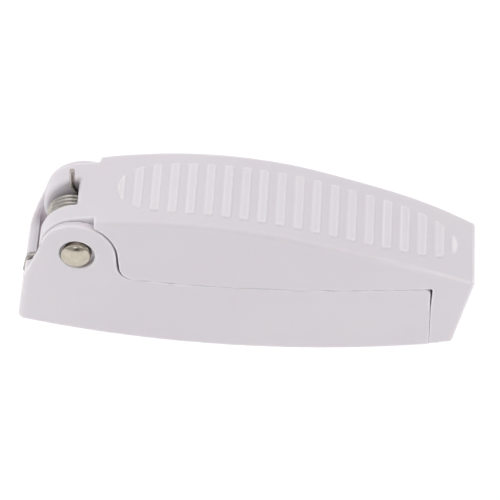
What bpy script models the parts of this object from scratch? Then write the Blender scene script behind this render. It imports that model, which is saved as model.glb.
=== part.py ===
"""Spring catch that holds a compartment door open.

A moulded base is screwed to the wall. A ribbed moulded lever hinges at one end of the base on a steel
rivet, and a torsion spring coiled round the rivet keeps the lever shut over the base, with its hooked
nose down past the base's far end.

Metres, +Z up. The mounting face is z = 0, the hinge is at the -X end, the nose at the +X end, and the
hinge axis runs along Y. X positions below are distances from the hinge end until place() shifts them.
"""

import math

import bmesh
import bpy
from mathutils import Matrix, Vector

MM = 0.001

# Overall size
LENGTH = 90.0 * MM
BLOCK_TOP = 32.0 * MM  # height of the blocks that the mouldings are cut from
OUTSIDE = 20.0 * MM  # side outlines are extruded this far either side of the middle plane
BEYOND = 1.0 * MM  # cutters run past the faces that they open by this much or more

# Barrel-shaped plan: half widths at the mounting face and along the lever's back
BASE_HALF_WIDTH = 12.4 * MM
BASE_BELLY_X = 44.8 * MM
BASE_SIDE_RADIUS = 215.0 * MM
BACK_HALF_WIDTH = 11.25 * MM
BACK_BELLY_X = 52.0 * MM
BACK_SIDE_RADII = (520.0 * MM, 288.0 * MM)  # towards the hinge, towards the nose

# The lever's back, seen from the side: a crown, a straight slope and an arc down to the nose
CROWN_X = 33.0 * MM
CROWN_Z = 30.3 * MM
CROWN_RADII = (112.0 * MM, 104.0 * MM)  # towards the hinge, towards the nose
SLOPE = 0.27
NOSE_ARC_X = 72.0 * MM
NOSE_ARC_RADIUS = 95.0 * MM

# Hinge
PIN_X = 12.0 * MM
PIN_Z = 20.0 * MM
EAR_RADIUS = 7.6 * MM
EAR_INNER = 8.15 * MM  # from the middle plane to an ear's inner face
EAR_INNER_AT_END = (1.45 * MM, 6.9 * MM)  # in plan the inner faces close in to here at the end wall
EAR_INNER_FROM_X = 4.0 * MM
KNUCKLE_RADIUS = 8.0 * MM
KNUCKLE_SHIFT = (0.4 * MM, 0.3 * MM)  # its centre from the pin, in x and z
KNUCKLE_OUTER = 7.85 * MM
KNUCKLE_INNER = 3.5 * MM
KNUCKLE_END_X = 22.5 * MM
WINDOW_X = 11.5 * MM  # the back ends here between the knuckles
PIN_RADIUS = 2.4 * MM
PIN_CLEARANCE = 0.3 * MM
HEAD_RADIUS = 3.05 * MM
HEAD_HEIGHT = 1.25 * MM
CLINCH_RADIUS = 3.0 * MM
CLINCH_HEIGHT = 0.9 * MM
CLINCH_BORE = 1.5 * MM
CLINCH_DEPTH = 3.0 * MM
CLINCH_ROUNDING = 0.15 * MM
SEAT_RADIUS = 3.5 * MM  # shallow flat seat for the rivet's ends in each ear
SEAT_Y = 9.1 * MM
SEAT_GAP = 0.3 * MM
BORE_REACH = 15.0 * MM

# Base
WALL = 1.6 * MM
FLOOR = 2.2 * MM
END_WALL_Z = 12.8 * MM
END_WALL_X = 1.45 * MM  # the hinge end wall's outer face leans in by this much at its top
END_WALL = 1.9 * MM
END_POCKET_DEPTH = 0.9 * MM  # how far below the end wall's top the shelf under the knuckles lies
SHELF_Z = 10.3 * MM  # underside of that shelf
SHELF_END_X = 18.0 * MM
END_LEAN = END_WALL_X / END_WALL_Z
END_CORNER = 1.2 * MM  # plan radius of the hinge end's two upright corners
EAR_LEAN = 0.34  # slope of the ears' outer edges above the end wall
PARTING_Z = (15.2 * MM, 15.7 * MM)  # top of the side walls by the ear and by the nose
EAR_FILLET = 2.7 * MM
EAR_FOOT = 5.5  # degrees above the pin where the ear's right edge leaves its circle, straight down
EAR_ROOT = 2.0 * MM  # the ears' outer edges start this far below the end wall's top
BASE_END_X = 81.5 * MM
BASE_CORNER = 1.4 * MM
SCREW_X = (33.0 * MM, 66.0 * MM)
SCREW_HOLE_RADIUS = 2.3 * MM
SCREW_HEAD_RADIUS = 4.3 * MM

# Lever
GAP = 0.4 * MM  # running gap between the base and the lever all along the parting
SKIRT = 1.6 * MM
BACK_THICKNESS = 2.0 * MM
BACK_THICKNESS_AT_HINGE = 1.4 * MM
SHOULDER_X = 15.2 * MM
NOSE_TIP_X = 86.5 * MM
NOSE_TIP_Z = 0.4 * MM
NOSE_LIP_Z = 16.4 * MM
NOSE_WALL = 2.2 * MM
NOSE_TAPER = 0.5 * MM  # the nose's wall is thicker by this at its tip

# Grip ribs across the lever's back
RIBS = 20
RIB_PITCH = 3.51 * MM
RIB_WIDTH = 1.7 * MM
RIB_HEIGHT = 0.3 * MM
RIB_ROOT = 0.7 * MM  # how far the bars reach down into the back
RIB_MIDDLE_X = 53.0 * MM
RIB_MARGIN = 3.7 * MM
RIB_FIELD = (33.8 * MM, 33.45 * MM)  # the ribbed field's reach to the hinge end and to the nose
RIB_TIP = 0.1 * MM  # the outermost ribs stop this short of the field's ends
RIB_FIELD_ROUNDING = 10  # power of the rounded ends of the field's outline

# Torsion spring
WIRE_RADIUS = 0.48 * MM
COIL_RADIUS = 4.9 * MM
COIL_SHIFT = -1.4 * MM  # the coil hangs towards the hinge end of the rivet
COIL_HALF_LENGTH = 2.72 * MM
COIL_TURNS = 5
COIL_START = math.radians(-73.6)
COIL_END = math.radians(80)
UPRIGHT_LEG_X = 10.0 * MM
UPRIGHT_LEG_Z = 31.0 * MM
HOOK_BEND = 1.1 * MM
HOOK_BEND_CENTRE = (2.75 * MM, 11.45 * MM)
HOOK_BEND_ANGLES = (172, 106.4)  # the second is square to the straight leg that runs on to the coil
HOOK_END = (1.2 * MM, 8.8 * MM)
GROOVE = [(1.9 * MM, 8.3 * MM), (2.4 * MM, 11.5 * MM)]  # bottom of the hook's groove in the end wall
GROOVE_HALF_WIDTH = 2.2 * WIRE_RADIUS
SPRING_STEP = math.radians(18)

STEP_X = 2.5 * MM  # spacing of the stations along the barrel-shaped sides


def place(x, y, z):
    """The object's origin is under the middle of its length."""
    return (x - LENGTH / 2, y, z)


def arc_drop(distance, radius):
    return radius - math.sqrt(radius**2 - distance**2)


def base_half_width(x):
    return BASE_HALF_WIDTH - arc_drop(x - BASE_BELLY_X, BASE_SIDE_RADIUS)


def back_half_width(x):
    radius = BACK_SIDE_RADII[0] if x < BACK_BELLY_X else BACK_SIDE_RADII[1]
    return BACK_HALF_WIDTH - arc_drop(x - BACK_BELLY_X, radius)


def back_height(x):
    """Height of the lever's back on its middle line, ribs aside."""
    if x < CROWN_X:
        return CROWN_Z - (CROWN_X - x) ** 2 / (2 * CROWN_RADII[0])
    straight_from = CROWN_X + SLOPE * CROWN_RADII[1]
    drop = (min(x, straight_from) - CROWN_X) ** 2 / (2 * CROWN_RADII[1])
    drop += SLOPE * max(0.0, x - straight_from)
    drop += max(0.0, x - NOSE_ARC_X) ** 2 / (2 * NOSE_ARC_RADIUS)
    return CROWN_Z - drop


def half_width(x, z):
    """The sides are ruled between the outline at the mounting face and the one at the back."""
    low, high = base_half_width(x), back_half_width(x)
    return low + (high - low) * z / back_height(x)


def stations(start, stop, step=STEP_X):
    count = max(1, round((stop - start) / step))
    return [start + (stop - start) * i / count for i in range(count + 1)]


def arc(centre_x, centre_z, radius, start, stop, steps):
    """Points of an arc in the XZ plane, angles in degrees from +X towards +Z."""
    angles = [math.radians(start + (stop - start) * i / steps) for i in range(steps + 1)]
    return [(centre_x + radius * math.cos(a), centre_z + radius * math.sin(a)) for a in angles]


def add_object(name, bm):
    mesh = bpy.data.meshes.new(name)
    bmesh.ops.recalc_face_normals(bm, faces=bm.faces)
    bm.to_mesh(mesh)
    bm.free()
    ob = bpy.data.objects.new(name, mesh)
    bpy.context.collection.objects.link(ob)
    return ob


def barrel(name, start, stop, low, high, inset=0.0, corner=0.0):
    """A block with the catch's barrel-shaped, drafted sides, moved in by inset.

    With a corner radius it starts at the leaning hinge end wall, with its two upright edges rounded.
    """
    bm = bmesh.new()
    rings = []
    if corner:
        for step in range(5):
            angle = math.radians(90 * step / 4)
            x = start + corner * (1 - math.cos(angle))
            drop = corner * (1 - math.sin(angle))
            ring = []
            for side, z in ((-1, low), (-1, high), (1, high), (1, low)):
                y = half_width(x, z) - inset - drop
                ring.append(bm.verts.new(place(x + END_LEAN * z, side * y, z)))
            rings.append(ring)
        start += 3 * corner
    for x in stations(start, stop):
        low_y, high_y = half_width(x, low) - inset, half_width(x, high) - inset
        corners = ((-low_y, low), (-high_y, high), (high_y, high), (low_y, low))
        rings.append([bm.verts.new(place(x, y, z)) for y, z in corners])
    for ring, after in zip(rings, rings[1:]):
        for i in range(len(ring)):
            j = (i + 1) % len(ring)
            bm.faces.new((ring[i], after[i], after[j], ring[j]))
    bm.faces.new(rings[0])
    bm.faces.new(rings[-1])
    bmesh.ops.triangulate(bm, faces=bm.faces)
    return add_object(name, bm)


def prism(name, outline, low_y, high_y):
    """A side outline, given as (x, z) points, extruded along Y."""
    bm = bmesh.new()
    face = bm.faces.new([bm.verts.new(place(x, low_y, z)) for x, z in outline])
    made = bmesh.ops.extrude_face_region(bm, geom=[face])["geom"]
    moved = [v for v in made if isinstance(v, bmesh.types.BMVert)]
    bmesh.ops.translate(bm, verts=moved, vec=(0, high_y - low_y, 0))
    return add_object(name, bm)


def slab(name, plan, low_z, high_z):
    """A plan outline, given as (x, half width) points on the +Y side, extruded along Z."""
    bm = bmesh.new()
    outline = plan + [(x, -y) for x, y in reversed(plan)]
    face = bm.faces.new([bm.verts.new(place(x, y, low_z)) for x, y in outline])
    made = bmesh.ops.extrude_face_region(bm, geom=[face])["geom"]
    moved = [v for v in made if isinstance(v, bmesh.types.BMVert)]
    bmesh.ops.translate(bm, verts=moved, vec=(0, 0, high_z - low_z))
    return add_object(name, bm)


def turned(name, profile, centre, axis, segments):
    """A closed profile of (radius, distance along the axis) points, turned round that axis."""
    bm = bmesh.new()
    rings = []
    for i in range(segments):
        angle = 2 * math.pi * i / segments
        ring = []
        for radius, along in profile:
            u, v = radius * math.cos(angle), radius * math.sin(angle)
            offset = (u, along, v) if axis == "Y" else (u, v, along)
            ring.append(bm.verts.new([c + o for c, o in zip(centre, offset)]))
        rings.append(ring)
    for ring, after in zip(rings, rings[1:] + rings[:1]):
        for i in range(len(profile)):
            j = (i + 1) % len(profile)
            if profile[i][0] > 0 or profile[j][0] > 0:
                bm.faces.new((ring[i], ring[j], after[j], after[i]))
    bmesh.ops.remove_doubles(bm, verts=bm.verts, dist=1e-7)
    return add_object(name, bm)


def set_origin(ob, point):
    """Moves an object's origin and leaves its shape where it is."""
    ob.data.transform(Matrix.Translation(-Vector(point)))
    ob.location = point


def boolean(target, tool, operation):
    modifier = target.modifiers.new(tool.name, "BOOLEAN")
    modifier.object = tool
    modifier.operation = operation
    modifier.solver = "EXACT"
    tool.hide_render = True
    tool.display_type = "WIRE"


def cut(target, *tools):
    for tool in tools:
        boolean(target, tool, "DIFFERENCE")


def keep(target, tool):
    boolean(target, tool, "INTERSECT")


def principled(name, colour, roughness, metallic=0.0):
    material = bpy.data.materials.new(name)
    material.use_nodes = True
    shader = material.node_tree.nodes["Principled BSDF"]
    shader.inputs["Base Color"].default_value = (*colour, 1.0)
    shader.inputs["Roughness"].default_value = roughness
    shader.inputs["Metallic"].default_value = metallic
    return material


def parting_z(x):
    """Top edge of the base's side walls, straight from the ear's fillet to the nose end."""
    start = ear_fillet_centre()[0]
    share = (x - start) / (BASE_END_X - start)
    return PARTING_Z[0] + (PARTING_Z[1] - PARTING_Z[0]) * share


def ear_fillet_centre():
    """The fillet touches the ear's straight foot from outside and the side wall's top edge from above."""
    z = PARTING_Z[0] + EAR_FILLET
    foot = math.radians(EAR_FOOT)
    return PIN_X + (EAR_RADIUS + EAR_FILLET - math.sin(foot) * (z - PIN_Z)) / math.cos(foot), z


def ear_curve(gap):
    """From the ear's left side over its top, down its foot and round the fillet, moved out by gap."""
    fillet_x, fillet_z = ear_fillet_centre()
    start = 180 - math.degrees(math.atan(EAR_LEAN))
    top = arc(PIN_X, PIN_Z, EAR_RADIUS + gap, start, EAR_FOOT, 20)
    return top + arc(fillet_x, fillet_z, EAR_FILLET - gap, 180 + EAR_FOOT, 270, 6)


def base_outline():
    """Side outline of the base. Its hinge end is the block's own end up to the end wall's top."""
    corner = parting_z(BASE_END_X - BASE_CORNER) - BASE_CORNER
    root_z = END_WALL_Z - EAR_ROOT
    outline = [(-3 * BEYOND, -BEYOND), (-3 * BEYOND, root_z)]
    outline += [(END_WALL_X - EAR_LEAN * EAR_ROOT, root_z)]
    outline += ear_curve(0.0)
    outline += arc(BASE_END_X - BASE_CORNER, corner, BASE_CORNER, 90, 0, 5)
    return outline + [(BASE_END_X, -BEYOND)]


def box_outline(x, z, end_x, end_z):
    return [(x, z), (end_x, z), (end_x, end_z), (x, end_z)]


def make_base():
    base = barrel("base", 0.0, BASE_END_X + BEYOND, 0.0, BLOCK_TOP, corner=END_CORNER)
    keep(base, prism("base_side_outline", base_outline(), -OUTSIDE, OUTSIDE))
    inner_start = END_WALL_X + END_WALL
    hollow = barrel("base_hollow", END_WALL, BASE_END_X - WALL, FLOOR, BLOCK_TOP, WALL)
    low, high = -2 * BEYOND, BLOCK_TOP + BEYOND
    leaning = [(END_WALL + END_LEAN * low, low), (END_WALL + END_LEAN * high, high)]
    leaning += [(LENGTH, high), (LENGTH, low)]
    keep(hollow, prism("base_hollow_end", leaning, BEYOND - OUTSIDE, OUTSIDE - BEYOND))
    shelf = box_outline(-2 * BEYOND, SHELF_Z, SHELF_END_X, BLOCK_TOP + 2 * BEYOND)
    cut(hollow, prism("hinge_shelf", shelf, -OUTSIDE, OUTSIDE))
    pocket_z = END_WALL_Z - END_POCKET_DEPTH
    end_x, end_y = EAR_INNER_AT_END
    wide = [(EAR_INNER_FROM_X, EAR_INNER), (KNUCKLE_END_X + 2 * BEYOND, EAR_INNER)]
    closing = (EAR_INNER - end_y) / (EAR_INNER_FROM_X - end_x)
    pocket_plan = [(inner_start, end_y + closing * (inner_start - end_x))] + wide
    pocket = slab("knuckle_pocket", pocket_plan, pocket_z, BLOCK_TOP)
    above_plan = [(-BEYOND, end_y), (end_x, end_y), wide[0], (PIN_X, EAR_INNER)]
    above = slab("above_end_wall", above_plan, END_WALL_Z, BLOCK_TOP + BEYOND)
    groove_top = END_WALL_Z + BEYOND
    groove_outline = [(-BEYOND, GROOVE[0][1]), *GROOVE, (PIN_X, GROOVE[1][1])]
    groove_outline += [(PIN_X, groove_top), (-BEYOND, groove_top)]
    groove_ends = (-COIL_HALF_LENGTH - GROOVE_HALF_WIDTH, -COIL_HALF_LENGTH + GROOVE_HALF_WIDTH)
    groove = prism("spring_groove", groove_outline, *groove_ends)
    cut(base, hollow, pocket, above, groove, pin_hole("ear_bore", SEAT_RADIUS))
    for number, x in enumerate(SCREW_X):
        cone_z = FLOOR - (SCREW_HEAD_RADIUS - SCREW_HOLE_RADIUS)
        drill = [
            (0.0, -BEYOND),
            (SCREW_HOLE_RADIUS, -BEYOND),
            (SCREW_HOLE_RADIUS, cone_z),
            (SCREW_HEAD_RADIUS + BEYOND, FLOOR + BEYOND),
            (0.0, FLOOR + BEYOND),
        ]
        cut(base, turned(f"screw_hole_{number + 1}", drill, place(x, 0.0, 0.0), "Z", 24))
    return base


def pin_hole(name, outer_radius):
    """A bore for the rivet's shank, of another radius outside the ears' seats."""
    radius = PIN_RADIUS + PIN_CLEARANCE
    hole = [(0.0, -BORE_REACH), (outer_radius, -BORE_REACH), (outer_radius, -SEAT_Y), (radius, -SEAT_Y)]
    hole += [(r, -y) for r, y in reversed(hole)]
    return turned(name, hole, place(PIN_X, 0.0, PIN_Z), "Y", 32)


def lever_outline():
    """Side outline of the lever between the ears, knuckle, back and nose."""
    knuckle_x, knuckle_z = PIN_X + KNUCKLE_SHIFT[0], PIN_Z + KNUCKLE_SHIFT[1]
    low = PARTING_Z[0] + GAP
    leave = math.degrees(math.asin((low - knuckle_z) / KNUCKLE_RADIUS))
    corner_x = BASE_END_X - BASE_CORNER
    corner_z = parting_z(corner_x) - BASE_CORNER
    inner = arc(corner_x, corner_z, BASE_CORNER + GAP, 0, 90, 5)
    fillet_x = ear_fillet_centre()[0]
    outline = [(NOSE_TIP_X, NOSE_TIP_Z), (LENGTH, NOSE_LIP_Z)]
    outline += [(x, back_height(x)) for x in reversed(stations(SHOULDER_X, LENGTH))]
    outline += arc(knuckle_x, knuckle_z, KNUCKLE_RADIUS, 90, 360 + leave, 30)
    return outline + [(fillet_x, low)] + inner[::-1] + [(BASE_END_X + GAP, NOSE_TIP_Z)]


def ear_clearance(name, side):
    """Room for one ear and for the side wall under it."""
    curve = ear_curve(GAP)
    low = PARTING_Z[0] - EAR_RADIUS
    outline = [(-2 * BEYOND, low), (-2 * BEYOND, curve[0][1])] + curve + [(curve[-1][0], low)]
    ends = sorted((side * KNUCKLE_OUTER, side * OUTSIDE))
    return prism(name, outline, *ends)


def shoulder_clearance(name, side):
    """Left of the shoulder the back is only as wide as the knuckles."""
    outline = box_outline(-2 * BEYOND, PIN_Z, SHOULDER_X, BLOCK_TOP + BEYOND)
    ends = sorted((side * KNUCKLE_OUTER, side * OUTSIDE))
    return prism(name, outline, *ends)


def rib_half_length(x):
    """Ribs end on an outline that follows the back's edge and is rounded off at both ends."""
    share = min(1.0, abs(x - RIB_MIDDLE_X) / RIB_FIELD[x > RIB_MIDDLE_X])
    return (back_half_width(x) - RIB_MARGIN) * math.sqrt(1 - share**RIB_FIELD_ROUNDING)


def make_ribs():
    """All grip ribs as one set of bars, each following the back and sunk into it."""
    bm = bmesh.new()
    field_start, field_end = RIB_MIDDLE_X - RIB_FIELD[0], RIB_MIDDLE_X + RIB_FIELD[1]
    for number in range(RIBS):
        middle = RIB_MIDDLE_X + (number - (RIBS - 1) / 2) * RIB_PITCH
        low = max(middle - RIB_WIDTH / 2, field_start + RIB_TIP)
        high = min(middle + RIB_WIDTH / 2, field_end - RIB_TIP)
        pieces = 4 if number in (0, RIBS - 1) else 1
        rings = []
        for i in range(pieces + 1):
            x = low + (high - low) * i / pieces
            reach, top, root = rib_half_length(x), back_height(x) + RIB_HEIGHT, back_height(x) - RIB_ROOT
            section = ((-reach, root), (reach, root), (reach, top), (-reach, top))
            rings.append([bm.verts.new(place(x, y, z)) for y, z in section])
        bm.faces.new(rings[0])
        bm.faces.new(rings[-1])
        for left, right in zip(rings, rings[1:]):
            for i in range(4):
                j = (i + 1) % 4
                bm.faces.new((left[i], left[j], right[j], right[i]))
    return add_object("grip_rib_bars", bm)


def make_lever():
    lever = barrel("lever", 2 * BEYOND, LENGTH + BEYOND, 0.0, BLOCK_TOP)
    keep(lever, prism("lever_side_outline", lever_outline(), -OUTSIDE, OUTSIDE))
    hollow = barrel("lever_hollow", KNUCKLE_END_X, LENGTH, -BEYOND, BLOCK_TOP, SKIRT)
    start = KNUCKLE_END_X - BEYOND
    along = reversed(stations(start, LENGTH - NOSE_WALL - NOSE_TAPER))
    underside = [(NOSE_TIP_X - NOSE_WALL - NOSE_TAPER, -2 * BEYOND)]
    underside += [(x, back_height(x) - BACK_THICKNESS) for x in along]
    underside += [(start, -2 * BEYOND)]
    keep(hollow, prism("lever_underside", underside, BEYOND - OUTSIDE, OUTSIDE - BEYOND))
    slot_top = back_height(WINDOW_X) - BACK_THICKNESS_AT_HINGE
    low, end = PIN_Z - 2 * EAR_RADIUS, KNUCKLE_END_X + BEYOND
    slot_outline = [
        (BEYOND, low),
        (end, low),
        (end, slot_top),
        (WINDOW_X, slot_top),
        (WINDOW_X, BLOCK_TOP + BEYOND),
        (BEYOND, BLOCK_TOP + BEYOND),
    ]
    slot = prism("knuckle_slot", slot_outline, -KNUCKLE_INNER, KNUCKLE_INNER)
    cut(lever, hollow, slot, pin_hole("knuckle_bore", PIN_RADIUS))
    for side, word in ((-1, "near"), (1, "far")):
        cut(lever, ear_clearance(f"ear_clearance_{word}", side))
        cut(lever, shoulder_clearance(f"shoulder_clearance_{word}", side))
    boolean(lever, make_ribs(), "UNION")
    set_origin(lever, place(PIN_X, 0.0, PIN_Z))
    return lever


def make_rivet():
    """Domed head at the near ear, shank, and a hollow clinched end at the far ear."""
    seat = SEAT_Y + SEAT_GAP
    profile = [(0.0, -seat - HEAD_HEIGHT)]
    for step in range(1, 6):
        angle = math.radians(90 * step / 6)
        profile.append((HEAD_RADIUS * math.sin(angle), -seat - HEAD_HEIGHT * math.cos(angle)))
    profile += [
        (HEAD_RADIUS, -seat),
        (PIN_RADIUS, -seat),
        (PIN_RADIUS, seat),
        (CLINCH_RADIUS, seat),
        (CLINCH_RADIUS - CLINCH_ROUNDING, seat + CLINCH_HEIGHT / 2),
        (PIN_RADIUS, seat + CLINCH_HEIGHT),
        (CLINCH_BORE, seat + CLINCH_HEIGHT / 2),
        (CLINCH_BORE, seat - CLINCH_DEPTH),
        (0.0, seat - CLINCH_DEPTH),
    ]
    rivet = turned("rivet", profile, (0.0, 0.0, 0.0), "Y", 32)
    rivet.location = place(PIN_X, 0.0, PIN_Z)
    return rivet


def spring_path():
    """Hook in the base's end wall, leg to the coil, coil towards +Y, upright leg at the lever."""
    coil_x, coil_z = PIN_X + COIL_SHIFT, PIN_Z
    near, far = -COIL_HALF_LENGTH, COIL_HALF_LENGTH
    points = [(HOOK_END[0], near, HOOK_END[1])]
    points += [(x, near, z) for x, z in arc(*HOOK_BEND_CENTRE, HOOK_BEND, *HOOK_BEND_ANGLES, 4)]
    sweep = 2 * math.pi * COIL_TURNS + COIL_END - COIL_START
    steps = round(sweep / SPRING_STEP)
    for i in range(steps + 1):
        angle = COIL_START + sweep * i / steps
        y = near + (far - near) * i / steps
        points.append((coil_x + COIL_RADIUS * math.cos(angle), y, coil_z + COIL_RADIUS * math.sin(angle)))
    coil_end_x, _, coil_end_z = points[-1]
    bend = (coil_end_x - UPRIGHT_LEG_X) / (1 - math.cos(COIL_END))
    centre_x, centre_z = UPRIGHT_LEG_X + bend, coil_end_z + bend * math.sin(COIL_END)
    turn = arc(centre_x, centre_z, bend, 180 + math.degrees(COIL_END), 180, 4)
    points += [(x, far, z) for x, z in turn[1:]]
    return points + [(UPRIGHT_LEG_X, far, UPRIGHT_LEG_Z)]


def make_spring():
    curve = bpy.data.curves.new("spring", "CURVE")
    curve.dimensions = "3D"
    curve.bevel_depth = WIRE_RADIUS
    curve.bevel_resolution = 1
    curve.use_fill_caps = True
    points = spring_path()
    spline = curve.splines.new("POLY")
    spline.points.add(len(points) - 1)
    for point, (x, y, z) in zip(spline.points, points):
        point.co = (x - PIN_X, y, z - PIN_Z, 1.0)
    spring = bpy.data.objects.new("spring", curve)
    spring.location = place(PIN_X, 0.0, PIN_Z)
    bpy.context.collection.objects.link(spring)
    return spring


def finish(ob, material, angle=35):
    ob.data.materials.append(material)
    if ob.type == "MESH":
        ob.data.shade_smooth()
        ob.data.set_sharp_from_angle(angle=math.radians(angle))


def main():
    for ob in list(bpy.data.objects):
        bpy.data.objects.remove(ob)
    white = principled("white_plastic", (0.82, 0.79, 0.82), 0.42)
    finish(make_base(), white)
    finish(make_lever(), principled("white_plastic_lever", (0.83, 0.80, 0.83), 0.42))
    finish(make_rivet(), principled("nickel_plated_steel", (0.72, 0.69, 0.62), 0.25, 1.0))
    finish(make_spring(), principled("spring_steel", (0.55, 0.54, 0.52), 0.3, 1.0))


main()
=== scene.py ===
"""Looks of a spring catch that holds a compartment door open: finer mouldings, rivet and spring in place
of the CAD nodes, with procedural materials, a pale floor and soft light.

Shapes are in millimetres from the hinge end, and to_frame() puts them in the frame. Mouldings are the zero
surfaces of distance fields, so that every edge has its own radius.
"""

import math

import bpy
import numpy as np
from mathutils import Matrix, Vector


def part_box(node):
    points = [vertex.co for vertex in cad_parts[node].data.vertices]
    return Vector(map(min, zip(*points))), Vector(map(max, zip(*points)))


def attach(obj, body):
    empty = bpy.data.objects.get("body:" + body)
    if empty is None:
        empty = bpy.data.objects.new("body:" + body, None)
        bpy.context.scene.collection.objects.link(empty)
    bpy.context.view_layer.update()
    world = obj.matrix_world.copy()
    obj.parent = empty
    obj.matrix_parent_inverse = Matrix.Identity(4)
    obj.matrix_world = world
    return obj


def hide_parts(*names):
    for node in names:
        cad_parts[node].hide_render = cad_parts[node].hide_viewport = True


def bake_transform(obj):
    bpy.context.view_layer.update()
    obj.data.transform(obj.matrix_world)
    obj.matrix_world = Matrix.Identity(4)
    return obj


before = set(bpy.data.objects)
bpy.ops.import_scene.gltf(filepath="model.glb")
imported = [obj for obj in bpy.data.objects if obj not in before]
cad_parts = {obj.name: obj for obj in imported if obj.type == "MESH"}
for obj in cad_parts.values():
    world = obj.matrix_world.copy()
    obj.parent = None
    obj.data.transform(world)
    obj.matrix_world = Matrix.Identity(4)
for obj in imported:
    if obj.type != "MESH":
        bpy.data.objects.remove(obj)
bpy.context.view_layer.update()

MM = 0.001
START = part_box("base")[0][0]  # the hinge end
LENGTH = (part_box("lever")[1][0] - START) / MM
PIN_X, PIN_Z = 12.0, 20.0

# Barrel-shaped plan
BASE_HALF_WIDTH, BASE_BELLY_X, BASE_SIDE_RADIUS = 12.4, 44.8, 215.0
BACK_HALF_WIDTH, BACK_BELLY_X, BACK_SIDE_RADII = 11.25, 52.0, (520.0, 288.0)
# The lever's back from the side
CROWN_X, CROWN_Z, CROWN_RADII, SLOPE = 33.0, 30.3, (112.0, 104.0), 0.27
NOSE_ARC_X, NOSE_ARC_RADIUS = 72.0, 95.0
# Hinge
EAR_RADIUS, EAR_INNER, EAR_LEAN, EAR_FILLET, EAR_FOOT = 7.6, 8.13, 0.34, 2.7, 5.5
EAR_ROUNDING, EAR_ROUNDING_END, EAR_ROUNDING_FADE = 1.2, 5, 4  # round the window, beyond EAR_INNER_FROM_X
EAR_ROOT, EAR_CORNER, EAR_INNER_EDGE = 2.2, 0.3, 0.1  # the root is where the ears rise from the end wall
EAR_TIGHT, EAR_TIGHT_TO, EAR_TIGHT_OVER = 0.1, 140.0, 50.0  # the gap's share at the hinge end; degrees
EAR_INNER_AT_END, EAR_INNER_FROM_X = (1.45, 6.9), 4.0
KNUCKLE_X, KNUCKLE_Z, KNUCKLE_RADIUS, KNUCKLE_OUTER, KNUCKLE_INNER = 12.4, 20.3, 8.0, 8.1, 3.5
WINDOW_X, SHOULDER_X, KNUCKLE_END_X, WINDOW_EDGE = 11.5, 15.2, 22.5, 0.9
PIN_RADIUS, BASE_BORE_GAP, LEVER_BORE_GAP, BORE_RIM = 2.4, 0.3, 0.05, 0.12
SEAT_RADIUS, SEAT_Y, SEAT_FLOOR_Y, SEAT_CORNER, SEAT_RIM = 3.45, 9.1, 8.75, 0.15, 0.4
# Base
WALL, FLOOR, END_WALL_X, END_WALL_Z, END_WALL, END_CORNER = 1.6, 2.2, 1.45, 12.8, 1.9, 1.2
END_WALL_ROOT, END_WALL_EDGE, END_WALL_EDGE_FADE = 2.0, 0.5, 2
BASE_EDGE, PARTING_SHARPER, PARTING_FROM_X, PARTING_FADE, FOOT_EDGE = 0.28, 0.2, 22, 4, 0.5
BASE_HOLLOW_CORNERS, BASE_HOLLOW_RIM = (1.0, 0.8, 0.6), 0.3  # hinge end, nose end, floor
SHELF_Z, SHELF_END_X = (10.3, 11.9), 18.0  # the shelf under the knuckles
PARTING_Z, BASE_END_X, BASE_CORNER, END_LEAN = (15.2, 15.7), 81.5, 1.6, 0.6
SCREW_X, SCREW_HOLE_RADIUS, SCREW_HEAD_RADIUS, SCREW_RIM, SCREW_REACH = (33.0, 66.0), 2.3, 4.3, 0.2, 0.6
# Lever
GAP, SEAM, SKIRT, BACK_THICKNESS, HINGE_THICKNESS = 0.4, -0.05, 1.6, 2.0, 1.4
# Gap between the base's nose end and the lever: at its top, where it has closed, and at its foot
NOTCH_GAP, NOTCH_CORNER = 0.32, 0.3
NOTCH_CLOSED_Z, NOTCH_CLOSED_LEAN, NOTCH_FOOT_LEAN, NOTCH_FOOT_SHIFT = 9.0, 0.35, 0.8, 0.05
NOSE_WEB = 1.7  # the wall that closes off the hollow nose behind that gap
# Roundings of the lever's long edges: low down, more at the nose, more along the back, less towards the nose
LOW_EDGE, NOSE_EDGE, BACK_EDGE, BACK_SHARPER, NOSE_BACK_SHARPER = 0.1, 0.3, 0.95, 0.7, 0.2
BACK_FROM, BACK_FADE, SHARPER_FROM_X, SHARPER_FADE, NOSE_FROM_X, NOSE_FADE = 4.0, 3.0, 60.0, 25.0, 83.5, 2.0
LEVER_HOLLOW_CORNER, LEVER_HOLLOW_RIM, KNUCKLE_CORNER, KNUCKLE_EDGE = 0.8, 0.25, 0.3, 0.3
NOSE_TIP_X, NOSE_TIP_Z, NOSE_LIP_Z, NOSE_WALL, NOSE_LIP_ROUNDING = 86.5, 0.4, 16.4, 2.2, 0.7
RIBS, RIB_PITCH, RIB_WIDTH, RIB_HEIGHT, RIB_MIDDLE_X, RIB_MARGIN = 20, 3.51, 1.75, 0.28, 53.0, 3.7
RIB_FIELD, RIB_FIELD_ROUNDING, RIB_END_RADIUS, RIB_SOFTNESS = (33.8, 33.45), 10, 0.55, 0.5
LEAST_SLOPE, RIB_RUB_AND_HIGHLIGHT, LAST_RIB_HIGHLIGHT = 0.15, 0.23, 1.0  # rub and highlight: how much brighter the rib tops are painted, partly wear and partly a painted highlight; the last rib's is all painted highlight
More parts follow.
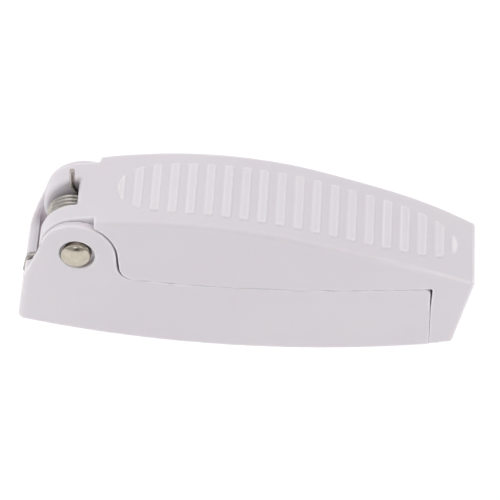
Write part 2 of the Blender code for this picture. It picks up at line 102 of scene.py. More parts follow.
# Spring and rivet
WIRE_RADIUS, COIL_RADIUS, COIL_SHIFT, COIL_HALF_LENGTH, COIL_TURNS = 0.53, 4.9, -1.4, 2.72, 5
COIL_START, COIL_END, LEG_X, LEG_Z = math.radians(-73.6), math.radians(70), 10.05, 31.0
HOOK_BEND, HOOK_BEND_CENTRE, HOOK_BEND_ANGLES, HOOK_END = 1.1, (2.75, 11.45), (172, 106.4), (1.2, 8.8)
GROOVE, GROOVE_HALF_WIDTH, GROOVE_EDGE = ((1.9, 8.3), (2.4, 11.5)), 2.2 * 0.48, 0.15  # for the hook
HEAD_RADIUS, HEAD_HEIGHT, CLINCH_RADIUS, CLINCH_HEIGHT, CLINCH_BORE = 2.92, 1.25, 3.0, 0.9, 1.5
HEAD_SHIFT = (-0.32, -0.32)  # the head sits a little off the middle of its seat
DOME_RADIUS, HEAD_RIM, HEAD_GAP = 5.1, 0.2, 0.3  # the gap is between the head and its seat
SHARP = math.radians(50)
# Box sides that lie outside everything
OUT, ABOVE = -9, 50


def to_frame(points):
    """From millimetres at the hinge end to metres in the frame."""
    return np.asarray(points, float) * MM + (START, 0.0, 0.0)


# Outlines ---------------------------------------------------------------------------------------------

def arc_drop(distance, radius):
    return radius - np.sqrt(radius**2 - distance**2)


def base_half_width(x):
    return BASE_HALF_WIDTH - arc_drop(x - BASE_BELLY_X, BASE_SIDE_RADIUS)


def back_half_width(x):
    radius = np.where(x < BACK_BELLY_X, *BACK_SIDE_RADII)
    return BACK_HALF_WIDTH - arc_drop(x - BACK_BELLY_X, radius)


def back_height(x):
    straight = CROWN_X + SLOPE * CROWN_RADII[1]
    rise = np.minimum(x - CROWN_X, 0.0) ** 2 / (2 * CROWN_RADII[0])
    fall = np.clip(x - CROWN_X, 0.0, straight - CROWN_X) ** 2 / (2 * CROWN_RADII[1])
    nose = np.maximum(0.0, x - NOSE_ARC_X) ** 2 / (2 * NOSE_ARC_RADIUS)
    fall += SLOPE * np.maximum(0.0, x - straight) + nose
    return CROWN_Z - rise - fall


def arc(centre_x, centre_z, radius, start, stop, steps):
    angles = np.radians(np.linspace(start, stop, steps + 1))
    return [(centre_x + radius * math.cos(a), centre_z + radius * math.sin(a)) for a in angles]


def ear_fillet_centre():
    z, foot = PARTING_Z[0] + EAR_FILLET, math.radians(EAR_FOOT)
    return PIN_X + (EAR_RADIUS + EAR_FILLET - math.sin(foot) * (z - PIN_Z)) / math.cos(foot), z


def parting_z(x):
    start = ear_fillet_centre()[0]
    return PARTING_Z[0] + (PARTING_Z[1] - PARTING_Z[0]) * (x - start) / (BASE_END_X - start)


def ear_curve(gap, end_gap):
    """Over the ear from its hinge side and down its fillet, moved out by gap, or by end_gap at its foot."""
    fillet_x, fillet_z = ear_fillet_centre()
    curve = []
    for degrees in np.linspace(180 - math.degrees(math.atan(EAR_LEAN)), EAR_FOOT, 65):
        reach = EAR_RADIUS + gap * float(np.clip((EAR_TIGHT_TO - degrees) / EAR_TIGHT_OVER, EAR_TIGHT, 1.0))
        angle = math.radians(degrees)
        curve.append((PIN_X + reach * math.cos(angle), PIN_Z + reach * math.sin(angle)))
    for share in np.linspace(0, 1, 19):
        angle = math.radians(180 + EAR_FOOT + (90 - EAR_FOOT) * share)
        reach = EAR_FILLET - gap + (gap - end_gap) * share**2
        curve.append((fillet_x + reach * math.cos(angle), fillet_z + reach * math.sin(angle)))
    return curve


def base_outline():
    root = END_WALL_ROOT
    outline = [(-3, -3), (-3, END_WALL_Z - root), (END_WALL_X - EAR_LEAN * root, END_WALL_Z - root)]
    corner = parting_z(BASE_END_X - BASE_CORNER) - BASE_CORNER
    outline += ear_curve(0.0, 0.0) + arc(BASE_END_X - BASE_CORNER, corner, BASE_CORNER, 90, 0, 14)
    return outline + [(BASE_END_X + END_LEAN, -3)]


def lever_outline():
    low = PARTING_Z[0] + SEAM
    leave = math.degrees(math.asin((low - KNUCKLE_Z) / KNUCKLE_RADIUS))
    notch_x, notch_z = BASE_END_X + NOTCH_GAP, parting_z(BASE_END_X - BASE_CORNER) + SEAM
    inner = [(BASE_END_X - BASE_CORNER, notch_z)]
    inner += arc(notch_x - NOTCH_CORNER, notch_z - NOTCH_CORNER, NOTCH_CORNER, 90, 0, 8)
    lip_x = LENGTH - NOSE_LIP_ROUNDING
    lip_z = float(back_height(lip_x)) - NOSE_LIP_ROUNDING
    outline = [(NOSE_TIP_X, NOSE_TIP_Z)] + arc(lip_x, lip_z, NOSE_LIP_ROUNDING, -12, 75, 12)
    outline += [(x, float(back_height(x))) for x in np.linspace(lip_x, SHOULDER_X, 76)]
    outline += arc(KNUCKLE_X, KNUCKLE_Z, KNUCKLE_RADIUS, 98, 360 + leave, 72)
    closed = (BASE_END_X + NOTCH_CLOSED_LEAN * END_LEAN, NOTCH_CLOSED_Z)
    foot = (BASE_END_X + NOTCH_FOOT_LEAN * END_LEAN - NOTCH_FOOT_SHIFT, NOSE_TIP_Z)
    return outline + [(ear_fillet_centre()[0], low)] + inner + [closed, foot]


class Outline:
    """Signed distance from a closed side outline, negative inside, read from a fine table of its own."""

    STEP = 0.1
    LOW, HIGH = (-4.0, -4.0), (95.0, 36.0)

    def __init__(self, points):
        x = np.arange(self.LOW[0], self.HIGH[0], self.STEP)[:, None]
        z = np.arange(self.LOW[1], self.HIGH[1], self.STEP)[None, :]
        nearest = np.full((x.size, z.size), 1e9)
        inside = np.zeros(nearest.shape, bool)
        for (ax, az), (bx, bz) in zip(points, points[1:] + points[:1]):
            ex, ez = bx - ax, bz - az
            along = np.clip(((x - ax) * ex + (z - az) * ez) / max(ex * ex + ez * ez, 1e-12), 0, 1)
            nearest = np.minimum(nearest, (x - ax - along * ex) ** 2 + (z - az - along * ez) ** 2)
            if ez:
                inside ^= ((az <= z) != (bz <= z)) & (x < ax + (z - az) * ex / ez)
        self.table = np.sqrt(nearest) * np.where(inside, -1, 1)

    def __call__(self, x, z):
        u = np.clip((x - self.LOW[0]) / self.STEP, 0, self.table.shape[0] - 1.001)
        v = np.clip((z - self.LOW[1]) / self.STEP, 0, self.table.shape[1] - 1.001)
        i, j = u.astype(int), v.astype(int)
        u, v = u - i, v - j
        t = self.table
        near = t[i, j] * (1 - u) + t[i + 1, j] * u
        return near * (1 - v) + (t[i, j + 1] * (1 - u) + t[i + 1, j + 1] * u) * v


# Distance fields --------------------------------------------------------------------------------------

def both(a, b, radius):
    """Where a and b overlap, with their shared edge rounded."""
    edge = np.hypot(np.maximum(a + radius, 0), np.maximum(b + radius, 0))
    return np.minimum(np.maximum(a, b), -radius) + edge


def less(a, b, radius):
    """a with b taken out, and the rim rounded."""
    return both(a, -b, radius)


def fade_in(x, start, over):
    """0 up to start, rising to 1 over the distance given."""
    return np.clip((x - start) / over, 0, 1)


def fade_out(x, end, over):
    """1 at first, falling to 0 at end over the distance given."""
    return np.clip((end - x) / over, 0, 1)


def box_field(x, z, low_x, low_z, high_x, high_z):
    return np.maximum(np.maximum(low_x - x, x - high_x), np.maximum(low_z - z, z - high_z))


def side(x, y, z):
    """Outside the barrel-shaped sides, ruled from the mounting face's outline to the back's."""
    share = np.clip(z / back_height(x), -0.2, 1.2)
    low, high = base_half_width(x), back_half_width(x)
    return np.abs(y) - (low + (high - low) * share)


def base_field(x, y, z):
    walls = side(x, y, z)
    end_lean = END_WALL_X / END_WALL_Z
    end = end_lean * z - x
    shape = BASE_SHAPE(x, z)
    edge = BASE_EDGE - PARTING_SHARPER * fade_in(x, PARTING_FROM_X, PARTING_FADE)
    body = both(both(walls, end, END_CORNER), shape, edge)
    body = both(body, -z, FOOT_EDGE)
    inner_end = END_WALL + end_lean * z - x
    hinge_corner, nose_corner, floor_corner = BASE_HOLLOW_CORNERS
    hollow = both(both(walls + WALL, inner_end, hinge_corner), x - (BASE_END_X - WALL), nose_corner)
    hollow = np.maximum(hollow, -box_field(x, z, OUT, SHELF_Z[0], SHELF_END_X, ABOVE))
    body = less(body, both(hollow, FLOOR - z, floor_corner), BASE_HOLLOW_RIM)
    end_x, end_y = EAR_INNER_AT_END
    closing = (EAR_INNER - end_y) / (EAR_INNER_FROM_X - end_x)
    ears = np.abs(y) - np.minimum(EAR_INNER, end_y + closing * np.maximum(x - end_x, 0))
    under = box_field(x, z, END_WALL_X + END_WALL, SHELF_Z[1], KNUCKLE_END_X + 2, ABOVE)
    wall_edge = END_WALL_EDGE * fade_out(x, EAR_INNER_FROM_X + END_WALL_EDGE_FADE, END_WALL_EDGE_FADE)
    body = less(body, both(ears, under, EAR_CORNER), EAR_INNER_EDGE + wall_edge)
    above = both(ears, box_field(x, z, OUT, END_WALL_Z, PIN_X, ABOVE), EAR_ROOT)
    body = less(body, above, EAR_INNER_EDGE)
    rounding = EAR_ROUNDING * fade_out(x, EAR_INNER_FROM_X + EAR_ROUNDING_END, EAR_ROUNDING_FADE)
    body = np.maximum(body, less(shape, above, EAR_INNER_EDGE + rounding))
    (low_x, low_z), (high_x, high_z) = GROOVE
    bottom = x - low_x - (z - low_z) * (high_x - low_x) / (high_z - low_z)
    groove = np.minimum(np.maximum(bottom, low_z - z), box_field(x, z, OUT, high_z, PIN_X, ABOVE))
    across = np.abs(y + COIL_HALF_LENGTH) - GROOVE_HALF_WIDTH
    groove = both(np.maximum(groove, z - END_WALL_Z - 1), across, GROOVE_EDGE)
    body = less(body, groove, GROOVE_EDGE)
    from_pin = np.hypot(x - PIN_X, z - PIN_Z)
    body = less(body, from_pin - PIN_RADIUS - BASE_BORE_GAP, BORE_RIM)
    body = less(body, both(from_pin - SEAT_RADIUS, SEAT_FLOOR_Y - np.abs(y), SEAT_CORNER), SEAT_RIM)
    for screw_x in SCREW_X:
        from_screw = np.hypot(x - screw_x, y)
        cone = (from_screw - SCREW_HEAD_RADIUS + FLOOR - z) / math.sqrt(2)
        drill = np.maximum(np.minimum(from_screw - SCREW_HOLE_RADIUS, cone), z - FLOOR - SCREW_REACH)
        body = less(body, drill, SCREW_RIM)
    return body


def rib_rise(x, y):
    """Height of the grip ribs: bars across the back, cut off by an outline that is round at both ends."""
    number = np.clip(np.round((x - RIB_MIDDLE_X) / RIB_PITCH + (RIBS - 1) / 2), 0, RIBS - 1)
    middle = RIB_MIDDLE_X + (number - (RIBS - 1) / 2) * RIB_PITCH
    half_length = np.where(x < RIB_MIDDLE_X, *RIB_FIELD)
    half_width = back_half_width(x) - RIB_MARGIN
    share = np.abs(x - RIB_MIDDLE_X) / half_length
    beyond = share**RIB_FIELD_ROUNDING + (y / half_width) ** 2 - 1
    slope_x = RIB_FIELD_ROUNDING * share ** (RIB_FIELD_ROUNDING - 1) / half_length
    slope = np.hypot(slope_x, 2 * y / half_width**2)
    past_field = beyond / np.maximum(slope, LEAST_SLOPE)
    outside = both(np.abs(x - middle) - RIB_WIDTH / 2, past_field, RIB_END_RADIUS)
    rise = np.clip(0.5 - outside / RIB_SOFTNESS, 0, 1)
    return RIB_HEIGHT * rise * rise * (3 - 2 * rise)


def rib_rub_and_highlight(x, y, z):
    """Rib tops are painted a little brighter than the back between them, partly as wear and partly as a
    painted highlight; the last rib gets a full painted highlight.
    """
    last = RIB_MIDDLE_X + RIB_FIELD[1] - RIB_PITCH / 2
    return np.where(x < last, RIB_RUB_AND_HIGHLIGHT, LAST_RIB_HIGHLIGHT) * rib_rise(x, y) / RIB_HEIGHT * (z > back_height(x))


def lever_field(x, y, z):
    walls = side(x, y, z)
    near_top = np.clip((z - back_height(x) + BACK_FROM) / BACK_FADE, 0, 1)
    to_nose = fade_in(x, SHARPER_FROM_X, SHARPER_FADE)
    at_nose = fade_in(x, NOSE_FROM_X, NOSE_FADE)
    back_edge = BACK_EDGE - BACK_SHARPER * to_nose - NOSE_BACK_SHARPER * at_nose
    edge = LOW_EDGE + NOSE_EDGE * at_nose + near_top * back_edge
    body = both(walls, LEVER_SHAPE(x, z) - rib_rise(x, y) * near_top, edge)
    underside = np.maximum(KNUCKLE_END_X - x, z - back_height(x) + BACK_THICKNESS)
    nose_lean = (LENGTH - NOSE_TIP_X) / (NOSE_LIP_Z - NOSE_TIP_Z)
    nose = x - (NOSE_TIP_X - NOSE_WALL + (z - NOSE_TIP_Z) * nose_lean)
    hollow = both(both(walls + SKIRT, underside, LEVER_HOLLOW_CORNER), nose, LEVER_HOLLOW_CORNER)
    hollow = np.maximum(hollow, -box_field(x, z, BASE_END_X - 1, OUT, BASE_END_X + NOSE_WEB, ABOVE))
    body = less(body, hollow, LEVER_HOLLOW_RIM)
    slot_top = back_height(np.float64(WINDOW_X)) - HINGE_THICKNESS
    slot = np.minimum(
        box_field(x, z, OUT, OUT, WINDOW_X, ABOVE), box_field(x, z, OUT, OUT, KNUCKLE_END_X + 1, slot_top)
    )
    body = less(body, both(np.abs(y) - KNUCKLE_INNER, slot, KNUCKLE_CORNER), WINDOW_EDGE)
    ear = np.minimum(EAR_SHAPE(x, z), box_field(x, z, OUT, PIN_Z, SHOULDER_X, ABOVE))
    body = less(body, both(ear, KNUCKLE_OUTER - np.abs(y), KNUCKLE_CORNER), KNUCKLE_EDGE)
    from_pin = np.hypot(x - PIN_X, z - PIN_Z)
    return less(body, from_pin - PIN_RADIUS - LEVER_BORE_GAP, BORE_RIM)


PROJECTIONS, LEAST_SQUARED_SLOPE, LONGEST_MOVE = 4, 0.25, 0.3
WEAR_AND_HIGHLIGHT_REACH = 0.25
WEAR_AND_HIGHLIGHT_FROM, WEAR_AND_HIGHLIGHT_OVER = 0.5, 2.5  # per mm: bend of the surface where the wear and painted highlight start, and how much more is full


def net(name, field, low, high, step, rub_and_highlight=None):
    """A closed mesh of the field's zero surface: one vertex for each cell that it crosses, moved onto it.

    Its wear-and-highlight attribute is 1 on sharp outside edges, and at least rub_and_highlight: these
    places are painted brighter, partly as wear and partly as a painted highlight.
    """
    step = np.asarray(step, float)
    axes = [np.arange(l, h + s, s) for l, h, s in zip(low, high, step)]
    x, y, z = np.meshgrid(*axes, indexing="ij", sparse=True)
    values = field(x, y, z)
    inside = values < 0
    cells = np.array(values.shape) - 1
    quads, crossings = [], []
    for axis in range(3):
        before, after = [slice(None)] * 3, [slice(None)] * 3
        before[axis], after[axis] = slice(0, -1), slice(1, None)
        before, after = tuple(before), tuple(after)
        where = inside[before] != inside[after]
        index = np.argwhere(where)
        first, second = values[before][where], values[after][where]
        points = np.array(low) + index * step
        points[:, axis] += step[axis] * first / (first - second)
        one, two = (axis + 1) % 3, (axis + 2) % 3
        ring = []
        for back_one, back_two in ((0, 0), (1, 0), (1, 1), (0, 1)):
            cell = index.copy()
            cell[:, one] -= back_one
            cell[:, two] -= back_two
            ring.append((cell[:, 0] * cells[1] + cell[:, 1]) * cells[2] + cell[:, 2])
            crossings.append((ring[-1], points))
        ring = np.array(ring).T
        flip = ~inside[before][where]
        ring[flip] = ring[flip][:, ::-1]
        quads.append(ring)
    ids, faces = np.unique(np.concatenate(quads), return_inverse=True)
    faces = faces.reshape(-1, 4)
    cell_ids = np.searchsorted(ids, np.concatenate([c for c, _ in crossings]))
    where = np.concatenate([p for _, p in crossings])
    count = np.bincount(cell_ids, minlength=len(ids))
    verts = np.array([np.bincount(cell_ids, where[:, i], len(ids)) / count for i in range(3)]).T
    for _ in range(PROJECTIONS):
        slope, value = slope_of(field, verts)
        move = slope * (value / np.maximum((slope**2).sum(1), LEAST_SQUARED_SLOPE))[:, None]
        length = np.linalg.norm(move, axis=1, keepdims=True)
        verts -= move * np.minimum(1.0, LONGEST_MOVE / np.maximum(length, 1e-9))
    slope, value = slope_of(field, verts)
    print(name, "vertices", len(verts), "worst distance from the surface (mm)", float(np.abs(value).max()))
    piece = make_mesh(name, to_frame(verts), faces, slope)
    # Sharp outside edges are marked here to be painted brighter: partly wear, partly a painted highlight.
    around = sum(field(*(verts + offset).T) for offset in WEAR_AND_HIGHLIGHT_REACH * np.vstack([np.eye(3), -np.eye(3)]))
    bend = (around - 6 * value) / WEAR_AND_HIGHLIGHT_REACH**2
    wear_and_highlight = fade_in(bend, WEAR_AND_HIGHLIGHT_FROM, WEAR_AND_HIGHLIGHT_OVER)
    if rub_and_highlight is not None:
        wear_and_highlight = np.maximum(wear_and_highlight, rub_and_highlight(*verts.T))
    piece.data.attributes.new("wear_and_highlight", "FLOAT", "POINT").data.foreach_set("value", wear_and_highlight.astype(np.float32))
    return piece


def slope_of(field, points, reach=0.06):
    x, y, z = points.T
    value = field(x, y, z)
    slope = np.empty_like(points)
    for axis in range(3):
        shift = [reach * (axis == i) for i in range(3)]
        ahead = field(x + shift[0], y + shift[1], z + shift[2])
        behind = field(x - shift[0], y - shift[1], z - shift[2])
        slope[:, axis] = (ahead - behind) / (2 * reach)
    return slope, value


def make_mesh(name, verts, faces, normals=None):
    mesh = bpy.data.meshes.new(name)
    mesh.from_pydata(verts.tolist(), [], [list(map(int, f)) for f in faces])
    mesh.shade_smooth()
    if normals is not None:
        normals = normals / np.maximum(np.linalg.norm(normals, axis=1, keepdims=True), 1e-9)
        mesh.normals_split_custom_set_from_vertices(normals.tolist())
    piece = bpy.data.objects.new(name, mesh)
    bpy.context.collection.objects.link(piece)
    return piece


BASE_SHAPE = Outline(base_outline())
EAR_EDGE = ear_curve(GAP, SEAM)
EAR_SHAPE = Outline(EAR_EDGE + [(EAR_EDGE[-1][0], 8.0), (-3.0, 8.0), (-3.0, EAR_EDGE[0][1])])
LEVER_SHAPE = Outline(lever_outline())


# Rivet and spring -------------------------------------------------------------------------------------

def rivet_profile():
    """(radius, y) points: ball-shaped head with a soft rim at the near ear, shank, clinched hollow end."""
    seat = SEAT_Y + HEAD_GAP
    top = seat + HEAD_HEIGHT
    turn = math.asin((HEAD_RADIUS - HEAD_RIM) / DOME_RADIUS)
    rim_radius = HEAD_RIM / (1 - math.sin(turn))
    rim_y = top - DOME_RADIUS * (1 - math.cos(turn)) - rim_radius * math.cos(turn)
    profile = [(0.0, -top)]
    for angle in np.linspace(0, turn, 19)[1:]:
        profile.append((DOME_RADIUS * math.sin(angle), -top + DOME_RADIUS * (1 - math.cos(angle))))
    for angle in np.linspace(turn, math.pi / 2, 11)[1:]:
        outward = HEAD_RADIUS - rim_radius * (1 - math.sin(angle))
        profile.append((outward, -rim_y - rim_radius * math.cos(angle)))
    profile += [(HEAD_RADIUS, -seat - 0.05), (HEAD_RADIUS - 0.12, -seat)]
    profile += [(PIN_RADIUS, -seat), (PIN_RADIUS, -SEAT_Y), (PIN_RADIUS, seat)]
    profile += [(CLINCH_RADIUS - 0.15, seat), (CLINCH_RADIUS, seat + 0.2)]
    half = (CLINCH_RADIUS - CLINCH_BORE) / 2
    for angle in np.radians(np.linspace(0, 180, 17)):
        profile.append((
            CLINCH_BORE + half + half * math.cos(angle),
            seat + 0.3 + (CLINCH_HEIGHT - 0.3) * math.sin(angle),
        ))
    return profile + [(CLINCH_BORE, seat - 2.9), (CLINCH_BORE - 0.2, seat - 3.0), (0.0, seat - 3.0)]


def make_rivet(segments=96):
    profile = rivet_profile()
    verts, faces = [], []
    rows = []
    for radius, along in profile:
        if radius == 0:
            rows.append([len(verts)] * segments)
            shift_x, shift_z = HEAD_SHIFT if along < 0 else (0.0, 0.0)
            verts.append((PIN_X + shift_x, along, PIN_Z + shift_z))
            continue
        rows.append(list(range(len(verts), len(verts) + segments)))
        shift_x, shift_z = HEAD_SHIFT if along < -SEAT_Y - 0.2 else (0.0, 0.0)
        for i in range(segments):
            angle = 2 * math.pi * i / segments
            out_x, out_z = radius * math.cos(angle), radius * math.sin(angle)
            verts.append((PIN_X + shift_x + out_x, along, PIN_Z + shift_z + out_z))
    for row, after in zip(rows, rows[1:]):
        for i in range(segments):
            j = (i + 1) % segments
            corners = list(dict.fromkeys((row[i], row[j], after[j], after[i])))
            faces.append(corners)
    piece = make_mesh("rivet_fine", to_frame(verts), faces)
    piece.data.set_sharp_from_angle(angle=SHARP)
    return piece


def line(start, end, y, count):
    """Evenly spaced points between two (x, z) places at one y."""
    (start_x, start_z), (end_x, end_z) = start, end
    return [(start_x + (end_x - start_x) * t, y, start_z + (end_z - start_z) * t)
            for t in np.linspace(0, 1, count)]


def spring_path():
    """Close points along the wire: hook, straight leg, coil, upright leg."""
    coil_x, near, far = PIN_X + COIL_SHIFT, -COIL_HALF_LENGTH, COIL_HALF_LENGTH
    hook = arc(*HOOK_BEND_CENTRE, HOOK_BEND, *HOOK_BEND_ANGLES, 12)
    points = line(HOOK_END, hook[0], near, 7)[:-1]
    points += [(x, near, z) for x, z in hook]
    start_x = coil_x + COIL_RADIUS * math.cos(COIL_START)
    start_z = PIN_Z + COIL_RADIUS * math.sin(COIL_START)
    points += line(hook[-1], (start_x, start_z), near, 16)[1:-1]
    sweep = 2 * math.pi * COIL_TURNS + COIL_END - COIL_START
    steps = 48 * COIL_TURNS
    for i in range(steps + 1):
        angle = COIL_START + sweep * i / steps
        y = near + (far - near) * i / steps
        points.append((coil_x + COIL_RADIUS * math.cos(angle), y, PIN_Z + COIL_RADIUS * math.sin(angle)))
    bend = (points[-1][0] - LEG_X) / (1 - math.cos(COIL_END))
    centre_z = points[-1][2] + bend * math.sin(COIL_END)
    turn = arc(LEG_X + bend, centre_z, bend, 180 + math.degrees(COIL_END), 180, 12)
    points += [(x, far, z) for x, z in turn[1:]]
    return points + [(LEG_X, far, z) for z in np.linspace(centre_z, LEG_Z, 8)[1:]]


def make_spring(sides=16):
    points = np.array(spring_path())
    points[1:-1] = (points[:-2] + 2 * points[1:-1] + points[2:]) / 4
    tangents = np.gradient(points, axis=0)
    tangents /= np.linalg.norm(tangents, axis=1, keepdims=True)
    verts, faces = [], []
    normal = np.array((0.0, 1.0, 0.0))
    for point, tangent in zip(points, tangents):
        normal = normal - tangent * normal.dot(tangent)
        normal /= np.linalg.norm(normal)
        across = np.cross(tangent, normal)
        for i in range(sides):
            angle = 2 * math.pi * i / sides
            verts.append(point + WIRE_RADIUS * (normal * math.cos(angle) + across * math.sin(angle)))
    rings = len(points)
    for ring in range(rings - 1):
        for i in range(sides):
            j = (i + 1) % sides
            a, b = ring * sides, (ring + 1) * sides
            faces.append((a + i, a + j, b + j, b + i))
    faces.append(list(range(sides))[::-1])
    faces.append([(rings - 1) * sides + i for i in range(sides)])
    piece = make_mesh("spring_wire", to_frame(verts), faces)
    piece.data.set_sharp_from_angle(angle=SHARP)
    return piece


# Materials --------------------------------------------------------------------------------------------

class Nodes:
    def __init__(self, name):
        self.material = bpy.data.materials.new(name)
        self.material.use_nodes = True
        self.tree = self.material.node_tree
        self.shader = self.tree.nodes["Principled BSDF"]
        self.place = self.add("ShaderNodeTexCoord").outputs["Object"]

    def add(self, kind, **settings):
        node = self.tree.nodes.new(kind)
        for key, value in settings.items():
            setattr(node, key, value)
        return node

    def link(self, source, target):
        self.tree.links.new(source, target)

    def noise(self, scale, detail=2.0, stretch=None):
        node = self.add("ShaderNodeTexNoise")
        node.inputs["Scale"].default_value = scale
        node.inputs["Detail"].default_value = detail
        source = self.place
        if stretch:
            mapping = self.add("ShaderNodeMapping")
            mapping.inputs["Scale"].default_value = stretch
            self.link(source, mapping.inputs["Vector"])
            source = mapping.outputs["Vector"]
        self.link(source, node.inputs["Vector"])
        return node.outputs["Fac"]

    def span(self, source, low, high, to_low, to_high):
        node = self.add("ShaderNodeMapRange")
        for name, value in zip(("From Min", "From Max", "To Min", "To Max"), (low, high, to_low, to_high)):
            node.inputs[name].default_value = value
        self.link(source, node.inputs["Value"])
        return node.outputs["Result"]

    def mix(self, factor, one, two):
        """one and two are colours or sockets."""
        node = self.add("ShaderNodeMix", data_type="RGBA")
        self.link(factor, node.inputs["Factor"])
        for value, socket in ((one, node.inputs["A"]), (two, node.inputs["B"])):
            if isinstance(value, tuple):
                socket.default_value = (*value, 1.0)
            else:
                self.link(value, socket)
        return node.outputs["Result"]

    def bump(self, height, strength, distance, normal=None):
        node = self.add("ShaderNodeBump")
        node.inputs["Strength"].default_value = strength
        node.inputs["Distance"].default_value = distance
        self.link(height, node.inputs["Height"])
        if normal:
            self.link(normal, node.inputs["Normal"])
        return node.outputs["Normal"]

    def use(self, colour, roughness, normal=None):
        self.link(colour, self.shader.inputs["Base Color"])
        self.link(roughness, self.shader.inputs["Roughness"])
        if normal:
            self.link(normal, self.shader.inputs["Normal"])
        return self.material


# EDGE is the colour of worn edges and rib tops, brighter than the plastic: partly wear, partly a painted
# highlight.
WHITE, WHITE_TWO, EDGE = (0.785, 0.74, 0.79), (0.795, 0.755, 0.79), (0.96, 0.915, 0.95)
NICKEL, NICKEL_STAIN = (0.60, 0.545, 0.455), (0.50, 0.455, 0.38)
STEEL, STEEL_STAIN = (0.52, 0.485, 0.455), (0.36, 0.335, 0.31)


def white_plastic(name):
    """Moulded plastic: slight colour drift, fine grain, and brighter, smoother edges and rib tops, partly
    from wear and partly a painted highlight.
    """
    nodes = Nodes(name)
    blotch = nodes.span(nodes.noise(55.0, 3.0), 0.35, 0.65, 0.0, 1.0)
    colour = nodes.mix(blotch, WHITE, WHITE_TWO)
    wear_and_highlight = nodes.add("ShaderNodeAttribute", attribute_name="wear_and_highlight").outputs["Fac"]
    # Edges and rib tops are painted towards EDGE: partly wear, partly a painted highlight; the smoother
    # roughness below is wear.
    colour = nodes.mix(wear_and_highlight, colour, EDGE)
    matt = nodes.span(nodes.noise(420.0, 4.0), 0.3, 0.7, 0.36, 0.47)
    polish = nodes.span(wear_and_highlight, 0.0, 1.0, 1.0, 0.5)
    product = nodes.add("ShaderNodeMath", operation="MULTIPLY")
    nodes.link(matt, product.inputs[0])
    nodes.link(polish, product.inputs[1])
    grain = nodes.bump(nodes.noise(2600.0, 3.0), 0.25, 0.00003)
    nodes.shader.inputs["IOR"].default_value = 1.47
    nodes.shader.inputs["Subsurface Weight"].default_value = 0.35
    nodes.shader.inputs["Subsurface Radius"].default_value = (1.0, 0.8, 0.75)
    nodes.shader.inputs["Subsurface Scale"].default_value = 0.0012
    return nodes.use(colour, product.outputs["Value"], grain)


def nickel(name):
    """Polished plate with faint stains and scratches."""
    nodes = Nodes(name)
    stain = nodes.span(nodes.noise(600.0, 4.0), 0.3, 0.7, 0.0, 1.0)
    colour = nodes.mix(stain, NICKEL, NICKEL_STAIN)
    roughness = nodes.span(nodes.noise(900.0, 3.0), 0.3, 0.7, 0.13, 0.24)
    scratches = nodes.bump(nodes.noise(1500.0, 5.0, (1.0, 1.0, 0.15)), 0.3, 0.00002)
    nodes.shader.inputs["Metallic"].default_value = 1.0
    return nodes.use(colour, roughness, scratches)


def spring_steel(name):
    """Drawn wire with darker stains and drawing marks."""
    nodes = Nodes(name)
    stain = nodes.span(nodes.noise(500.0, 4.0), 0.3, 0.7, 0.0, 1.0)
    colour = nodes.mix(stain, STEEL, STEEL_STAIN)
    roughness = nodes.span(nodes.noise(1200.0, 3.0), 0.3, 0.7, 0.22, 0.4)
    drawn = nodes.bump(nodes.noise(2500.0, 4.0, (0.3, 2.0, 0.3)), 0.3, 0.00002)
    nodes.shader.inputs["Metallic"].default_value = 1.0
    return nodes.use(colour, roughness, drawn)


# Pieces -----------------------------------------------------------------------------------------------

CELL = 0.33
RIB_CELL = RIB_PITCH / 11  # every rib then falls alike on the cells
BASE_BLOCK = (-0.9, -13.0, -0.9), (82.8, 13.0, 28.6)
LEVER_BLOCK = (3.6, -12.4, -0.5), (90.8, 12.4, 31.4)
base = net("base_shell", base_field, *BASE_BLOCK, (CELL, CELL, CELL))
# The rib tops get their wear and painted highlight through rib_rub_and_highlight.
lever = net("lever_shell", lever_field, *LEVER_BLOCK, (RIB_CELL, CELL, CELL), rib_rub_and_highlight)
rivet = make_rivet()
spring = make_spring()

base.data.materials.append(white_plastic("base_white"))
lever.data.materials.append(white_plastic("lever_white"))
rivet.data.materials.append(nickel("nickel_plate"))
spring.data.materials.append(spring_steel("drawn_steel"))

for piece, node, slot in (
    (base, "base", "base_plastic"),
    (lever, "lever", "lever_plastic"),
    (rivet, "rivet", "rivet_steel"),
    (spring, "spring", "spring_steel"),
):
    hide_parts(node)
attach(base, "base")
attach(lever, "lever")
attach(rivet, "base")
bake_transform(spring)


# Stage ------------------------------------------------------------------------------------------------

def floor():
    mesh = bpy.data.meshes.new("floor")
    mesh.from_pydata([(-3, -3, 0), (3, -3, 0), (3, 3, 0), (-3, 3, 0)], [], [(0, 1, 2, 3)])
    ob = bpy.data.objects.new("floor", mesh)
    bpy.context.collection.objects.link(ob)
    ob.location.z = -0.0001
    material = bpy.data.materials.new("pale_floor")
    material.use_nodes = True
    shader = material.node_tree.nodes["Principled BSDF"]
    shader.inputs["Base Color"].default_value = (0.22, 0.22, 0.22, 1)
    shader.inputs["Roughness"].default_value = 0.9
    shader.inputs["Emission Color"].default_value = (1, 1, 1, 1)
    shader.inputs["Emission Strength"].default_value = 0.88
    mesh.materials.append(material)


def area_light(name, place, aim, size, power):
    light = bpy.data.lights.new(name, "AREA")
    light.shape = "DISK"
    light.size = size
    light.energy = power
    ob = bpy.data.objects.new(name, light)
    bpy.context.collection.objects.link(ob)
    ob.location = place
    ob.rotation_euler = (Vector(aim) - Vector(place)).to_track_quat("-Z", "Y").to_euler()


CAMERA_PLACE, CAMERA_LENS, SENSOR_WIDTH = (0.01046, -0.57264, 0.55592), 286.5, 36.0
CAMERA_AZIMUTH, CAMERA_ELEVATION, CAMERA_ROLL = math.radians(0.99), math.radians(43.38), math.radians(2.37)


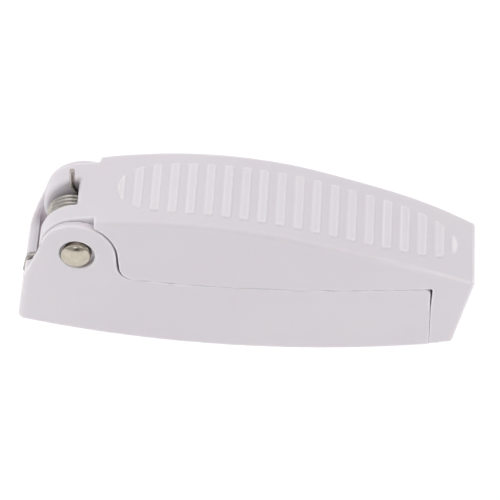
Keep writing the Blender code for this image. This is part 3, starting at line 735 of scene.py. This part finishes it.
def camera():
    """A long lens, looking down at 43 degrees from the near side, turned a little about its own axis."""
    azimuth, elevation, roll = CAMERA_AZIMUTH, CAMERA_ELEVATION, CAMERA_ROLL
    level = math.cos(elevation)
    forward = Vector((-math.sin(azimuth) * level, math.cos(azimuth) * level, -math.sin(elevation)))
    right = Vector((math.cos(azimuth), math.sin(azimuth), 0.0))
    up = right.cross(forward)
    turned_right = right * math.cos(roll) + up * math.sin(roll)
    turned_up = up * math.cos(roll) - right * math.sin(roll)
    data = bpy.data.cameras.new("camera")
    data.sensor_width = SENSOR_WIDTH
    data.lens = CAMERA_LENS
    data.clip_start = 0.01
    ob = bpy.data.objects.new("camera", data)
    bpy.context.collection.objects.link(ob)
    turn = Matrix((turned_right, turned_up, -forward)).transposed()
    ob.matrix_world = Matrix.Translation(CAMERA_PLACE) @ turn.to_4x4()
    bpy.context.scene.camera = ob


def studio():
    """A white room, brighter above and behind, with a photographer, tripod, card and lamp in front."""
    world = bpy.data.worlds.new("studio")
    world.use_nodes = True
    tree = world.node_tree
    direction = tree.nodes.new("ShaderNodeTexCoord").outputs["Generated"]

    def lobe(axis, low, high, to_low, to_high):
        dot = tree.nodes.new("ShaderNodeVectorMath")
        dot.operation = "DOT_PRODUCT"
        dot.inputs[1].default_value = Vector(axis).normalized()
        tree.links.new(direction, dot.inputs[0])
        span = tree.nodes.new("ShaderNodeMapRange")
        span.interpolation_type = "SMOOTHSTEP"
        for name, value in zip(("From Min", "From Max", "To Min", "To Max"), (low, high, to_low, to_high)):
            span.inputs[name].default_value = value
        tree.links.new(dot.outputs["Value"], span.inputs["Value"])
        return span.outputs["Result"]

    def times(one, two):
        product = tree.nodes.new("ShaderNodeMath")
        product.operation = "MULTIPLY"
        tree.links.new(one, product.inputs[0])
        tree.links.new(two, product.inputs[1])
        return product.outputs["Value"]

    room = lobe((-0.1, 0.4, 0.8), -1.0, 1.0, 0.165, 0.94)
    photographer = lobe((0.013, -0.727, 0.687), 0.93, 0.975, 1.0, 0.2)
    tripod = lobe((0.05, -0.99, 0.09), 0.972, 0.99, 1.0, 0.05)
    card = lobe((-0.05, -0.925, 0.385), 0.982, 0.992, 1.0, 3.5)
    lamp = lobe((0.46, -0.58, 0.67), 0.988, 0.995, 1.0, 3.5)
    strength = times(times(room, photographer), times(tripod, times(card, lamp)))
    background = tree.nodes["Background"]
    background.inputs["Color"].default_value = (1, 1, 1, 1)
    tree.links.new(strength, background.inputs["Strength"])
    bpy.context.scene.world = world


floor()
studio()
area_light("softbox", (-0.3, 0.1, 0.6), (0, 0, 0.01), 0.25, 0.3)
bpy.context.scene.view_settings.view_transform = "Standard"
camera()
